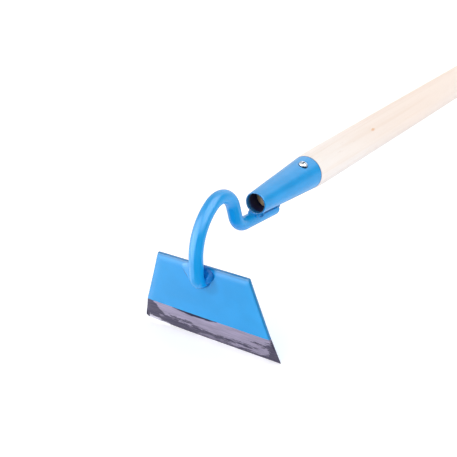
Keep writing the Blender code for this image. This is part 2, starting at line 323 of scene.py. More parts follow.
def enamelOverWeld(place, tones):
    # a darker blue as painted shade over the bead, with slightly lighter patches in it, which shines less
    # than the rest
    tone = patches(place, *enamelLook["weldPatches"])
    color = withDust(place, mixColor(tone, *tones))
    return {"Base Color": color, "Roughness": ramp(tone, *enamelLook["weldSheen"]),
            "Specular IOR Level": enamelLook["weldSpecular"], "Normal": enamelBump(place)}


# Socket

socketSizes = {
    "length": 0.088, "mouthRadius": 0.0102, "rearRadius": 0.0163, "wall": 0.0015, "lip": 0.0005,
    "sides": 192, "steps": 150, "lipSteps": 4, "screwFromRim": 0.016,
    "screwRoll": 21.0,  # degrees round from the top towards +x
    "dimpleRadius": 0.0047, "dimpleDepth": 0.0011, "outOfRound": 0.00012,
}

insideLook = {
    # the two near-black navy tones inside are bare mill scale with the bore's shade painted into them
    "scale": (0.0002, 0.002, 0.055), "brown": (0.0003, 0.0015, 0.034),
    "rust": (260.0, 4.0, 0.45, 0.7),
    "below": 0.6,  # of the wall's thickness under the skin, where the inside starts
    "within": (-0.0002, 0.0002, 1.0, 0.0),
    "sprayReach": (0.0008, 0.0064),  # the paint fades out this far in from the mouth
    "sprayEdge": (600.0, 3.0), "sprayUneven": 0.004,
    "insideShadeTone": 0.6,  # and is painted darker there, as shade of the bore
    "rimShadeTone": 0.42,  # painted shade on the cut rims
    "mouthRim": (0.0002, 0.0005, 1.0, 0.0), "rimSkin": (0.0001, 0.0005, 1.0, 0.0),
    "rearRim": (0.0009, 0.0015, 1.0, 0.0),
    "screwShadowRing": (0.0041, 0.0052, 0.3, 1.0),  # painted shadow of the screw's head on the skin, this far round the screw
    "endGrain": (0.84, 0.55, 0.29),
}

coneSlope = (socketSizes["rearRadius"] - socketSizes["mouthRadius"]) / socketSizes["length"]
coneAngle = math.atan(coneSlope)
wallAcross = socketSizes["wall"] / math.cos(coneAngle)


def coneRadius(y):
    # outer radius of the socket: the mouth's radius plus the slope times y
    return socketSizes["mouthRadius"] + coneSlope * y


def aroundSocket(y, radius, roll):
    # point at y along the handle's line: radius * sin(roll) to the side, radius * cos(roll) up
    return pack(headPlace["sideShift"] + radius * np.sin(roll), y, radius * np.cos(roll))


def screwPlace():
    y = socketSizes["length"] - socketSizes["screwFromRim"]
    roll = math.radians(socketSizes["screwRoll"])
    outward = np.array([math.sin(roll) * math.cos(coneAngle), -math.sin(coneAngle),
                        math.cos(roll) * math.cos(coneAngle)])
    return aroundSocket(y, coneRadius(y), roll), outward


def offTheCone(own, below):
    # along the handle's line, and the distance out from a surface this far below the cone's skin
    x, along, z = split(own)
    level = along * coneSlope + (socketSizes["mouthRadius"] - below)
    return along, calc("SQRT", x * x + z * z) - level


def enamelWithBareInside(place):
    # the same enamel, but inside the cone the spray fades out and leaves dark mill scale, whose near-black
    # navy is partly painted shade of the bore; the paint inside, on the rims and round the screw is painted
    # darker as shade
    look, length = insideLook, socketSizes["length"]
    own = ownPlace(place, mouthCentre, 0.0)
    along, skin = offTheCone(own, socketSizes["wall"] * look["below"])
    within = ramp(skin, *look["within"])
    reached = along + swing(noise(own, *look["sprayEdge"]), look["sprayUneven"])
    bare = within * (ramp(reached, *look["sprayReach"]) * ramp(length - reached, *look["sprayReach"]))
    scale = mixColor(patches(own, *look["rust"]), look["scale"], look["brown"])
    onMouthRim = ramp(along, *look["mouthRim"]) * ramp(skin, *look["rimSkin"])
    onRim = calc("MAXIMUM", onMouthRim, ramp(length - along, *look["rearRim"]))
    # painted shade on the rims and inside the cone
    tone = calc("MINIMUM", toned(onRim, look["rimShadeTone"]), toned(within, look["insideShadeTone"]))
    fromScrew = distanceTo(own, screwPlace()[0] - mouthCentre)
    # a painted shadow ring round the screw's head
    paint = shade(enamelColor(place), tone * ramp(fromScrew, *look["screwShadowRing"]))
    return enamelCoat(place, mixColor(bare, paint, scale), bare)


def makeSocket():
    # a closed profile of (along, radius) turned round the handle's line: outside, rear lip,
    # inside and mouth lip; round the screw the skin sinks by a smooth bell
    size = socketSizes
    length, lip, corner = (size[key] for key in ("length", "lip", "lipSteps"))
    quarter = np.linspace(0, math.pi / 2, corner + 1)[1:]
    flat = np.linspace(lip, length - lip, size["steps"])
    lipAlong, lipAcross = lip * (1 - np.sin(quarter)), lip * (1 - np.cos(quarter))
    mouth, rear, outside = coneRadius(0.0), coneRadius(length), coneRadius(flat)
    along = np.r_[flat, length - lipAlong, length - lipAlong[::-1], flat[::-1],
                  lipAlong, lipAlong[::-1]][:, None]
    radius = np.r_[outside, rear - lipAcross, rear - wallAcross + lipAcross[::-1],
                   outside[::-1] - wallAcross, mouth - wallAcross + lipAcross,
                   mouth - lipAcross[::-1]][:, None]
    skin = np.repeat([1.0, 0.0, 1.0], [len(flat) + corner, len(flat) + 2 * corner, corner])[:, None]
    roll = fullTurn(size["sides"])
    rings = aroundSocket(along, radius, roll)
    distance = np.linalg.norm(rings - screwPlace()[0], axis=-1) / size["dimpleRadius"]
    dimple = size["dimpleDepth"] * np.exp(-distance ** 6)
    uneven = size["outOfRound"] * (slowWaves(rings, 11, 0.016) - 1.0)
    mesh = shellMesh("socketCone", aroundSocket(along, radius + (uneven - dimple) * skin, roll))
    addPiece(mesh, newMaterial(enamelWithBareInside), "socket", 50.0)


# Bent bar

barSizes = {
    "radius": 0.006,
    "tailReach": 0.0395,  # back from the mouth, under the cone
    "tailRounding": 0.0028,
    "lead": 0.0107,  # straight on past the mouth
    "bends": [(0.0155, -69.0, 0.0105),  # radius, degrees and the straight run after it: up,
              (0.021, 102.0, 0.0),  # over the top,
              (0.045, 62.0, 0.0135),  # down in a long sweep
              (0.008, 94.0, 0.0)],  # and into the plate
    "gap": 0.0003, "uneven": 0.00006,
    "groove": (0.0024, 0.004, 1.0, 0.0),  # the painted shade fades out this far off the cone
    "grooveStart": (0.005, 0.01),  # and starts this far in from the mouth
    "bendDark": (-0.018, -0.006, 0.0, 0.9),  # painted shade under the bend, by the depth into the plate
    "bendHeight": (-0.0045, 0.001, 1.0, 0.0),  # and by the height over the stub's axis
    "ringStep": 0.0006,
    "sumSteps": 8,  # steps of the running sum from ring to ring
    "sides": 72,
}


def barHeight(y):
    # height of the bar's axis where it lies against the cone, a gap away from it: the root of
    # (distance between the two axes)^2 - sideways shift^2, downwards
    reach = coneRadius(y) + (barSizes["radius"] + barSizes["gap"]) / math.cos(coneAngle)
    return -math.sqrt(reach ** 2 - headPlace["sideShift"] ** 2)


def barRoute():
    # middle line of the bar as points and headings: straight runs and arcs, one after another.
    # The heading is the angle from +y towards +z; along an arc it changes evenly.
    start = np.array([barSizes["tailReach"], barHeight(barSizes["tailReach"])])
    mouth = np.array([0.0, barHeight(0.0)])
    moves = [(np.linalg.norm(mouth - start) + barSizes["lead"], 0.0)]
    for radius, degrees, run in barSizes["bends"]:
        turn = math.radians(degrees)
        moves += [(radius * abs(turn), turn), (run, 0.0)]
    lengths, turns = np.array([move for move in moves if move[0] > 0]).T
    knots = np.append(0.0, np.cumsum(lengths))
    headings = math.atan2(mouth[1] - start[1], mouth[0] - start[0]) + np.append(0.0, np.cumsum(turns))
    every = barSizes["sumSteps"]
    fine = np.linspace(0.0, knots[-1], int(knots[-1] / barSizes["ringStep"]) * every + 1)
    heading = np.interp(fine, knots, headings)
    middle = (heading[1:] + heading[:-1]) / 2
    steps = np.diff(fine)[:, None] * pack(np.cos(middle), np.sin(middle))
    line = start + np.r_[np.zeros((1, 2)), np.cumsum(steps, axis=0)]
    return line[::every], heading[::every], fine[::every]


barLine, barHeading, barTravel = barRoute()
bladeTilt = barHeading[-1]  # into the plate
stubEnd = np.array([0.0, *barLine[-1]])
bladeOrigin = stubEnd + barSizes["gap"] * np.array([0.0, math.cos(bladeTilt), math.sin(bladeTilt)])


def onPlate(place):
    # the blade's frame: x across, y into the plate, z up the face
    return ownPlace(place, bladeOrigin, bladeTilt)


def barEnamel(place):
    # blue enamel, with painted shade in the groove between the bar and the cone over it, and
    # under the bend where it runs into the plate, which is also rougher there
    along, offCone = offTheCone(ownPlace(place, mouthCentre, 0.0), 0.0)
    inGroove = ramp(offCone, *barSizes["groove"]) * ramp(along, *barSizes["grooveStart"])
    depth, up = split(onPlate(place))[1:]
    shadeUnderBend = ramp(depth, *barSizes["bendDark"]) * ramp(up, *barSizes["bendHeight"])
    # painted shade under the bend where the bar runs into the plate
    color = mixColor(shadeUnderBend, enamelColor(place), enamelLook["shadeUnderBend"])
    # the groove under the cone gets a painted shade colour
    return enamelCoat(place, mixColor(inGroove, color, enamelLook["grooveShade"]), shadeUnderBend)


def makeNeckBar():
    # circles of the bar's radius carried along the route; the tail's rings shrink along a
    # quarter circle, and the coat swells and thins a little on the way
    rounding = barSizes["tailRounding"]
    radius = np.full(len(barTravel), barSizes["radius"])
    near = barTravel < rounding
    radius[near] -= rounding - np.sqrt(rounding ** 2 - (rounding - barTravel[near]) ** 2)
    angle = fullTurn(barSizes["sides"])[:, None]
    up = pack(0.0, -np.sin(barHeading), np.cos(barHeading))[:, None, :]
    centre = pack(0.0, *barLine.T)[:, None, :]
    outward = np.cos(angle) * np.array([1.0, 0.0, 0.0]) + np.sin(angle) * up
    rings = centre + outward * radius[:, None, None]
    rings -= outward * barSizes["uneven"] * (1.0 + slowWaves(rings, 4, 0.011))[..., None]
    addPiece(tubeMesh("neckBar", rings), newMaterial(barEnamel), "neck_rod")


# Weld beads

# A bead under the cone is what lies inside a smooth blend of lumps and the steel that they join,
# less its pits. Its skin is found along rays from the centre. Lumps and pits are (offset from the
# centre, half sizes) in the head's frame.
beadSkin = {
    "rows": 110, "columns": 150,
    "samples": 260,  # places tried along each ray
    "ripple": 0.00008,
    "under": 0.00045,  # away from the lumps the skin lies this far inside the steel
    "pitSoftness": 0.6,  # of the bead's own softness
    "boreGap": 0.0004,
}

# a rib at the rear end, a fillet ahead of it, a smaller one on the far side, a thin run under
# the mouth and one pit
frontBead = {
    "centre": np.array([0.0017, 0.003, -0.0105]),
    "barAt": 0.0,  # where along the handle the bar's height is taken
    "reach": 0.0115, "softness": 0.0005,
    "lumps": [((0.0047, 0.0044, -0.0013), (0.0018, 0.0018, 0.003)),
              ((0.0033, 0.001, -0.0005), (0.0018, 0.0042, 0.0024)),
              ((-0.0033, -0.0004, 0.0007), (0.0019, 0.0034, 0.0024)),
              ((-0.0003, -0.0014, 0.0003), (0.004, 0.0018, 0.001))],
    "pits": [((0.0055, -0.0012, -0.0007), (0.0014, 0.002, 0.001))],
    "waves": (3, 0.0011),  # seed and reach of the ripple
}

rearBead = {
    "back": 0.0058,  # ahead of the bar's tail end
    "side": 0.003,  # from the joint's line towards +x, where the groove is open
    "lift": 0.0014, "reach": 0.009, "softness": 0.0004,
    "lumps": [((0.0, 0.0, 0.0), (0.0025, 0.004, 0.002)),
              ((0.0014, -0.0022, -0.0004), (0.0018, 0.002, 0.0019)),
              ((0.0014, 0.0018, -0.0006), (0.0017, 0.0018, 0.0018)),
              ((-0.006, 0.002, 0.0012), (0.002, 0.0034, 0.0018))],
    "pits": [],
    "waves": (8, 0.001),
}


def jointCentre(y):
    # off the cone by the lift, on the line from its axis to the bar's, then moved to the side
    towards = np.array([-headPlace["sideShift"], 0.0, barHeight(y)])
    out = towards / np.linalg.norm(towards) * (coneRadius(y) + rearBead["lift"])
    return mouthCentre + [rearBead["side"], y, 0.0] + out


rearBead["barAt"] = barSizes["tailReach"] - rearBead["back"]
rearBead["centre"] = jointCentre(rearBead["barAt"])


def smoothUnion(distances, softness):
    # like the smallest of the distances, but rounded where two are close
    stacked = np.stack(distances)
    return -softness * np.log(np.exp(-stacked / softness).sum(axis=0))


def barDistance(places, barAt):
    # below zero inside the straight stretch of bar under the cone, up to its rounded tail
    rounding = barSizes["tailRounding"]
    across = np.hypot(places[..., 0], places[..., 2] - barHeight(barAt)) - barSizes["radius"] + rounding
    beyond = places[..., 1] - barSizes["tailReach"] + rounding
    corner = np.hypot(np.maximum(across, 0.0), np.maximum(beyond, 0.0))
    return corner + np.minimum(np.maximum(across, beyond), 0.0) - rounding


def lump(places, centre, size):
    # an egg-shaped blob: (distance from its middle in half sizes - 1) * smallest half size
    return (np.linalg.norm((places - centre) / np.array(size), axis=-1) - 1.0) * min(size)


def beadField(bead, places):
    # below zero inside the smooth union of the cone's wall, the bar and the rippled lumps, less
    # the pits and less the cone's bore
    centre, under, softness = bead["centre"], beadSkin["under"], bead["softness"]
    radius = np.hypot(places[..., 0] - headPlace["sideShift"], places[..., 2])
    outer = (radius - coneRadius(places[..., 1])) * math.cos(coneAngle)
    inner = -outer - socketSizes["wall"]
    wall = np.maximum(np.maximum(outer, inner), -places[..., 1])
    ripple = beadSkin["ripple"] * slowWaves(places, *bead["waves"])
    parts = [wall + under, barDistance(places, bead["barAt"]) + under]
    parts += [lump(places, centre + offset, size) + ripple for offset, size in bead["lumps"]]
    solid = smoothUnion(parts, softness)
    for offset, size in bead["pits"]:
        pit = lump(places, centre + offset, size)
        solid = -smoothUnion([-solid, pit], softness * beadSkin["pitSoftness"])
    return np.maximum(solid, inner + beadSkin["boreGap"])


def beadMesh(name, bead):
    # the first place along each ray, out to reach, where the field turns positive
    rows, columns, samples = (beadSkin[key] for key in ("rows", "columns", "samples"))
    polar, turn = np.linspace(0, math.pi, rows)[1:-1, None], fullTurn(columns)
    rays = pack(np.sin(polar) * np.cos(turn), np.sin(polar) * np.sin(turn), np.cos(polar))
    distances = np.linspace(0.0, bead["reach"], samples)[:, None]
    values = beadField(bead, bead["centre"] + rays[..., None, :] * distances)
    outside = values > 0
    first = np.where(outside.any(axis=-1), outside.argmax(axis=-1), samples - 1).clip(1)[..., None]
    before = np.take_along_axis(values, first - 1, axis=-1)
    after = np.take_along_axis(values, first, axis=-1)
    part = np.where(after > 0, -before / np.maximum(after - before, 1e-9), 1.0).clip(0, 1)
    length = bead["reach"] * (first - 1 + part) / (samples - 1)
    return tubeMesh(name, bead["centre"] + rays * length)


def enamelOverSocketWeld(place):
    # painted shade over the socket's weld beads
    return enamelOverWeld(place, enamelLook["overSocketWeldShade"])


def makeSocketWelds():
    coat = newMaterial(enamelOverSocketWeld)
    for name, nodeName, bead in (("frontWeldBead", "socket_weld_front", frontBead),
                                 ("rearWeldBead", "socket_weld_rear", rearBead)):
        addPiece(beadMesh(name, bead), coat, nodeName)


# The blade's bead is a ring round the stub. Angles are counted in the plate from straight up
# towards +x. Each swell is (angle, half width in degrees, metres) and adds a bell to the ring's
# outer radius or to its height; each lump is (angle, radius, half width, height).
bladeBead = {
    "innerRadius": 0.0054, "outerRadius": 0.0064, "height": 0.0024,
    "outerSwells": [(24.0, 36.0, 0.007), (60.0, 22.0, 0.004), (3.0, 9.0, 0.0015),
                    (-28.0, 22.0, 0.0016), (-100.0, 60.0, 0.001)],
    "heightSwells": [(60.0, 46.0, 0.0026), (-30.0, 40.0, -0.0006)],
    "lumps": [(60.0, 0.0092, 0.0036, 0.0007), (16.0, 0.009, 0.002, 0.0005),
              (4.0, 0.0122, 0.0018, 0.0008), (33.0, 0.0116, 0.0018, -0.0007)],
    "roundness": 2.2, "bulge": 0.55, "ripple": 0.00005, "sunk": 0.0006,
    "overTop": 0.0016,  # it hangs this far down behind the plate's top edge
    "overTopFade": 0.0006,  # either side of that edge
    "footShadeDepth": (-0.0036, -0.00126, 0.0, 0.75),  # painted shade at the bead's foot, by the depth into the plate
    "columns": 220, "steps": 46,
}


def bladeToHead(points):
    # from the blade's frame (x across, y into the plate, z up the face): turned by the blade's
    # tilt and moved to the end of the bar
    turn = np.array(Matrix.Rotation(bladeTilt, 3, "X"))
    return points @ turn.T + bladeOrigin


def bells(angle, level, swells):
    # the level plus, for each swell, metres * exp(-(degrees from its angle / half width)^2)
    for middle, half, amount in swells:
        away = (np.degrees(angle) - middle + 180.0) % 360.0 - 180.0
        level = level + amount * np.exp(-(away / half) ** 2)
    return level


def enamelOverBladeWeld(place):
    # painted shade, darker still within a short height over the blade's plate
    coat = enamelOverWeld(place, enamelLook["overWeldShade"])
    nearPlate = ramp(split(onPlate(place))[1], *bladeBead["footShadeDepth"])
    coat["Base Color"] = mixColor(nearPlate, coat["Base Color"], enamelLook["weldFootShade"])
    return coat


def makeBladeWeld():
    # outward from inside the stub, the height is H * (1 - s^roundness)^bulge with s from 0 to 1
    # across the ring, plus lumps and ripples; the skin then turns under, back inside the plate
    bead, top = bladeBead, bladeSizes["stubBelowTop"]
    angle = fullTurn(bead["columns"])
    outer = bells(angle, bead["outerRadius"], bead["outerSwells"])
    height = bells(angle, bead["height"], bead["heightSwells"])
    s = np.sin(np.linspace(0, math.pi / 2, bead["steps"]))[:, None]
    radius = bead["innerRadius"] + (outer - bead["innerRadius"]) * s
    x, z = radius * np.sin(angle), radius * np.cos(angle)
    rise = height * (1.0 - s ** bead["roundness"]).clip(0.0) ** bead["bulge"]
    inside = 1.0 - s ** 8
    for lumpAngle, lumpRadius, half, amount in bead["lumps"]:
        turn = math.radians(lumpAngle)
        away = np.hypot(x - lumpRadius * math.sin(turn), z - lumpRadius * math.cos(turn))
        rise = rise + amount * np.exp(-(away / half) ** 2) * inside
    rise = rise + bead["ripple"] * slowWaves(pack(x, 0.0, z), 21, 0.0011) * inside
    over = fade(z, top - bead["overTopFade"], top + bead["overTopFade"])
    back = pack(x, bead["sunk"] + bead["overTop"] * over, z)
    face = pack(x, -rise, z)[::-1]
    mesh = shellMesh("bladeWeldBead", bladeToHead(np.r_[back, face]))
    addPiece(mesh, newMaterial(enamelOverBladeWeld), "blade_weld", 50.0)


# Blade

bladeSizes = {
    "edgeWidth": 0.139, "height": 0.073, "thickness": 0.0035, "land": 0.0004, "bevelHeight": 0.0225,
    "stubBelowTop": 0.0123, "rounding": 0.0007,
    "leftSide": ((0.0, 0.0465), (0.049, 0.064), (0.06, 0.0671), (0.073, 0.0695)),
    "rightSide": ((0.0, 0.0443), (0.049, 0.0604), (0.06, 0.0645), (0.073, 0.0695)),
    "topRise": 0.0009,  # the top was sheared this far over the nominal height
    "topRiseReach": 0.02,
    "rollOver": 0.0006,  # the sheared rim leans back this far
    "rollOverWidth": 0.0036,
    "rollOverSides": 0.7,  # and this share of it at the sides
    "cornerRounding": (0.0022, 0.001),  # left and right
    "worn": 0.0014,  # the cutting edge is ground back this far at the left corner
    "wornFrom": 0.02,  # growing from this far left of the middle
    "columns": 300,
    "columnSpread": 0.45,  # below 1 the columns lie closer together near the weld
    "rows": 64, "bevelRows": 22,
    "skirtCorners": [(-0.013, -0.001), (-0.0218, 0.0042), (-0.0146, 0.0162)],
    "skirtStep": 0.0014,  # it drops back to the plate over this width
    "skirtFoot": (0.0155, 0.02), "skirtRight": (-0.002, 0.004), "skirtSlope": 0.1,
    "creaseShadow": ((-0.0214, 0.0056), (-0.0142, 0.0168), 0.0006),  # painted shadow along the skirt's step: start, end, half thickness
    "weldShadowPlace": (0.006, 0.016),  # middle of the painted shadow under the weld: x and down
    "weldShadow": (0.00495, 0.011, 0.55, 0.0),
    "paintEnd": 0.0504,  # the paint is ground off below this, and a little lower at the right
    "paintSlope": 0.007, "paintNoise": (160.0, 3.0), "paintUneven": 0.0006, "paintSoft": 0.00012,
    "backWear": (420.0, 4.0, 0.35, 0.72, 0.0006, 0.0022, 0.6),  # paint's end over the back's edge
}


def bladeOutlineDrop(x):
    # how far the cutting edge is ground back at x: a slow rise towards the left corner and
    # flattened quarter circles at both corners
    size = bladeSizes
    half = size["edgeWidth"] / 2
    r = np.where(x < 0, *size["cornerRounding"])
    fromCorner = np.clip(r - (half - np.abs(x)), 0.0, r)
    corner = r - np.sqrt(np.maximum(r ** 2 - fromCorner ** 2, 0.0))
    return corner * 0.9 + size["worn"] * fade(-x, size["wornFrom"], half) ** 1.5


def skirtRise(x, down):
    # height of the weld's flat skirt left of the bar: slope * down, faded out at its foot, behind
    # the bar and past the two lines through its corners (x, down), which run down its left side
    size = bladeSizes
    fades = [1.0 - fade(down, *size["skirtFoot"]), 1.0 - fade(x, *size["skirtRight"])]
    corners = size["skirtCorners"]
    for (startX, startDown), (endX, endDown) in zip(corners, corners[1:]):
        run = math.hypot(endX - startX, endDown - startDown)
        away = ((x - startX) * (endDown - startDown) - (down - startDown) * (endX - startX)) / run
        fades.append(fade(away, 0.0, size["skirtStep"]))
    rise = size["skirtSlope"] * down
    for share in fades:
        rise = rise * (3 - 2 * share) * share ** 2
    return rise


def makeBlade():
    # a closed section of (depth, down) points carried across the width; towards each side it
    # shrinks along a quarter circle, and the two sides are closed with a strip
    size = bladeSizes
    height, thickness, r = (size[key] for key in ("height", "thickness", "rounding"))
    rows, bevelRows = size["rows"], size["bevelRows"]
    bevelTop = height - size["bevelHeight"]
    quarter = np.linspace(0, math.pi / 2, 6)
    down = np.r_[r - r * np.cos(quarter), np.linspace(r, bevelTop, rows)[1:],
                 np.linspace(bevelTop, height, bevelRows)[1:]]
    frontDepth = np.r_[r - r * np.sin(quarter), np.zeros(rows - 1),
                       np.linspace(0, thickness - size["land"], bevelRows)[1:]]
    backDepth = np.append(thickness - r + r * np.sin(quarter), np.full(rows + bevelRows - 2, thickness))
    sectionDown = np.append(down, down[::-1])
    sectionDepth = np.append(frontDepth, backDepth[::-1])
    left, right = (np.interp(sectionDown, *zip(*size[key])) for key in ("leftSide", "rightSide"))
    sideAngle = np.linspace(0, math.pi / 2, 5)
    even, spread = np.linspace(-1, 1, size["columns"]), size["columnSpread"]
    share = (even * (spread + (1.0 - spread) * even ** 2))[1:-1, None]
    x = np.r_[r - left - r * np.cos(sideAngle)[:, None],
              share * np.where(share < 0, left - r, right - r),
              right - r + r * np.sin(sideAngle)[:, None]]
    inset = np.r_[r * (1 - np.sin(sideAngle)), np.zeros(len(share)),
                  r * (1 - np.cos(sideAngle))][:, None]
    side = np.sign(sectionDepth - thickness / 2)
    room = np.abs(sectionDepth - thickness / 2)
    depth = sectionDepth - side * np.minimum(inset, 0.8 * room)
    lower = fade(sectionDown, bevelTop, height) ** 2
    rowDown = sectionDown - bladeOutlineDrop(x) * lower
    # the top rim and the sides lean back a little where the sheet was sheared
    fromSide = np.maximum(np.where(x < 0, left, right) - np.abs(x), 0.0)
    topRim, sideRim = (np.exp(-(gap / size["rollOverWidth"]) ** 2) for gap in (rowDown, fromSide))
    rim = np.maximum(topRim, size["rollOverSides"] * sideRim)
    rollOver = size["rollOver"] * rim * (1.0 - lower)
    depth = np.where(side < 0, depth + rollOver - skirtRise(x, rowDown), depth)
    rowDown = rowDown - size["topRise"] * (1.0 - fade(rowDown, 0.0, size["topRiseReach"]))
    points = pack(x, depth, size["stubBelowTop"] - rowDown)
    rings, columns = x.shape
    j = np.arange(len(down) - 1)
    first = pack(j, j + 1, columns - 2 - j, columns - 1 - j)
    last = (rings - 1) * columns + first[:, ::-1]
    mesh = makeMesh("bladePlate", bladeToHead(points.reshape(-1, 3)), gridFaces(rings, columns), first, last)
    addPiece(mesh, newMaterial(bladeFinish), "blade", 32.0)


steelLook = {
    "ground": (0.29, 0.262, 0.372), "dark": (0.053, 0.048, 0.086), "polished": (0.56, 0.54, 0.64),
    "underPaint": (0.014, 0.02, 0.055), "underPaintDown": (0.0528, 0.054, 1.0, 0.0),
    "underPaintSide": (0.036, 0.044, 1.0, 0.0),
    "edgeShadeTone": 0.58,  # painted shade on the sheared edges, which look darker
    "onFront": (0.001, 0.0014, 1.0, 0.0), "onBack": (0.0001, 0.0002, 1.0, 0.0),
    "offFront": (0.0003, 0.0007), "offBack": (0.0002, 0.0005),
    "longStretch": 0.05,  # streaks are noise drawn out along the edge
    "shortStretch": 0.11, "fine": (1100.0, 4.0, 0.65), "broad": (420.0, 4.0, 0.65),
    "short": (1000.0, 3.0, 0.6),
    "ragged": (0.01, 0.0035),  # swing of the streaky edges, short and broad streaks
    "raggedSideways": 1.2,
    "calm": 0.35,  # share of that swing on the line right under the paint
    "soft": 0.00025, "streakSoft": (-0.0001, 0.0003), "patchFade": (0.5, 1.2, 0.15, 1.0),
    "lowStreaks": ((0.0605, 0.064, 0.0, 0.75), (0.535, 0.6)),
    "wear": ((0.38, 0.6, 0.8, 1.0), (0.6, 0.7, 1.0, 0.7)),
    "scratches": (0.32, 0.68, 0.8, 1.16), "metallic": 0.85, "roughness": (0.3, 0.7, 0.36, 0.54),
    "scratchDepth": 0.7,
    "paintStep": 1.2,  # the paint stands this much of the bump's depth over the steel
}

# The lower limit of the dark line right under the paint. In this and the next limits points are
# in millimetres on the blade: x from the middle, and down from the top edge.
scorchedLimit = ((-70, 48.0), (-37, 50.1), (-27, 51.9), (-17, 53.0), (-8, 53.0), (0, 52.1), (9, 50.1),
                 (70, 48.0))

# where the grinding left dark mill scale: the upper and the lower limit, and how dark it is
scaleBands = [
    (((-70, 46.0), (-57.5, 46.0), (-56, 51.5), (-54, 55.5), (-49, 60.2), (-47, 62.6), (-30, 64.8),
      (-19, 65.2), (-15, 63.8), (-8, 65.5), (10, 65.3), (24, 64.6), (36, 64.0), (46, 64.2),
      (54, 66.0), (70, 68.0)),
     ((-70, 76.0), (-13, 76.0), (-10, 70.4), (0, 69.2), (15, 68.7), (24, 67.4), (34, 66.8),
      (44, 66.0), (54, 65.0), (70, 64.0)), 1.0),
    (((-70, 64.0), (-45, 62.5), (-41, 60.3), (-32, 61.4), (-24, 60.8), (-18, 60.4), (-16, 63.5),
      (70, 64.0)),
     ((-70, 61.0), (-45, 61.2), (-40, 62.4), (-33, 63.8), (-25, 63.8), (-17, 62.7), (-14, 61.0),
      (70, 61.0)), 1.0),
    (((-70, 76.0), (-14, 76.0), (-8, 72.2), (10, 71.7), (24, 71.0), (29, 69.6), (40, 70.1),
      (50, 70.0), (58, 68.4), (70, 68.4)), ((-70, 77.0), (70, 77.0)), 1.0),
    (((-70, 76.0), (-12, 76.0), (-9, 69.0), (20, 68.6), (27, 72.0), (70, 76.0)),
     ((-70, 77.0), (70, 77.0)), 0.5),
]
# The dark corner lies right of these points (down, x), the polished edge below these (x, down).
darkCorner = ((46.0, 60.8), (50, 61.4), (56, 62.0), (58, 62.4), (61, 59.6), (66, 58.6), (68.5, 57.0),
              (70, 53.5), (76, 48.0))
polishedLimit = ((-70, 77), (-67.5, 77), (-66, 68.0), (-62, 69.2), (-55, 70.4), (-47, 71.7), (-40, 73.6),
                 (-30, 77), (70, 77))

# start, end and half thickness of single dark streaks; x, down and half sizes of light patches
darkStreaks = [
    ((0.0405, 0.0593), (0.056, 0.0586), 0.0013),
    ((0.051, 0.062), (0.064, 0.0576), 0.0018),
    ((0.056, 0.058), (0.064, 0.0548), 0.0011),
    ((-0.019, 0.064), (-0.006, 0.0626), 0.0006),
]
lightPatches = [(-0.0455, 0.0615, 0.005, 0.0008), (-0.051, 0.0652, 0.003, 0.0009),
                (-0.022, 0.0643, 0.003, 0.0006)]


def streakShare(x, down, start, end, half):
    # a lens round a line: half * (1 - (distance from its middle / half its length)^2) thick
    slope = (end[1] - start[1]) / (end[0] - start[0])
    offLine = calc("ABSOLUTE", down - (x * slope + (start[1] - slope * start[0])))
    share = calc("DIVIDE", x - (start[0] + end[0]) / 2, (end[0] - start[0]) / 2)
    return ramp(share * share * -half + half - offLine, *steelLook["streakSoft"])


def limitLine(value, points, low=-70.0, high=70.0):
    # straight lines through points in millimetres, read off a curve with both axes from 0 to 1
    limits = [point[1] for point in points]
    bottom, span = min(limits), max(max(limits) - min(limits), 1.0)
    share = ramp(value, low / 1000, high / 1000, kind="LINEAR")
    curve = addNode("FloatCurve", "Value", {"Value": share})
    marks = curve.node.mapping.curves[0].points
    while len(marks) < len(points):
        marks.new(0.5, 0.5)
    for mark, (at, limit) in zip(marks, points):
        mark.location = ((at - low) / (high - low), (limit - bottom) / span)
        mark.handle_type = "VECTOR"
    curve.node.mapping.update()
    return ramp(curve, 0.0, 1.0, bottom / 1000, (bottom + span) / 1000, "LINEAR")


def scaleShare(x, down, calmDown):
    # share of dark mill scale that the grinding left on the bevel: the largest of the corner, the
    # line under the paint, the bands and the single streaks, less the light patches
    soft = steelLook["soft"]
    shares = [above(x, limitLine(down, darkCorner, 46.0, 76.0), soft),
              above(limitLine(x, scorchedLimit), calmDown, soft)]
    for top, bottom, strength in scaleBands:
        band = above(down, limitLine(x, top), soft) * above(limitLine(x, bottom), down, soft)
        shares.append(band * strength)
    shares += [streakShare(x, down, *streak) for streak in darkStreaks]
    share = shares[0]
    for other in shares[1:]:
        share = calc("MAXIMUM", share, other)
    for middleX, middleDown, halfX, halfDown in lightPatches:
        u = calc("DIVIDE", x - middleX, halfX)
        v = calc("DIVIDE", down - middleDown, halfDown)
        share = share * ramp(u * u + v * v, *steelLook["patchFade"])
    return share


def groundSteel(place, x, down):
    # ground steel with streaks of dark scale, sooty under the paint and polished at the edge;
    # gives back its colour and the fine streaks
    look = steelLook
    drawnOut = stretch(place, look["longStretch"], 1.0, 1.0)
    fine, broad = noise(drawnOut, *look["fine"]), noise(drawnOut, *look["broad"])
    short = noise(stretch(place, look["shortStretch"], 1.0, 1.0), *look["short"])
    shortSwing, broadSwing = look["ragged"]
    ragged = swing(short, shortSwing) + swing(broad, broadSwing)
    raggedDown = down + ragged
    scale = scaleShare(x + ragged * look["raggedSideways"], raggedDown, ragged * look["calm"] + down)
    lowDown, lowFine = look["lowStreaks"]
    scale = calc("MAXIMUM", scale, ramp(raggedDown, *lowDown) * ramp(fine, *lowFine))
    fineWear, shortWear = look["wear"]
    worn = ramp(fine, *fineWear) * ramp(short, *shortWear)
    steel = shade(mixColor(scale * worn, look["ground"], look["dark"]), ramp(fine, *look["scratches"]))
    sooty = ramp(down, *look["underPaintDown"]) * ramp(calc("ABSOLUTE", x), *look["underPaintSide"])
    steel = mixColor(scale * sooty, steel, look["underPaint"])
    polished = above(raggedDown, limitLine(x, polishedLimit), look["soft"])
    return mixColor(polished, steel, look["polished"]), fine


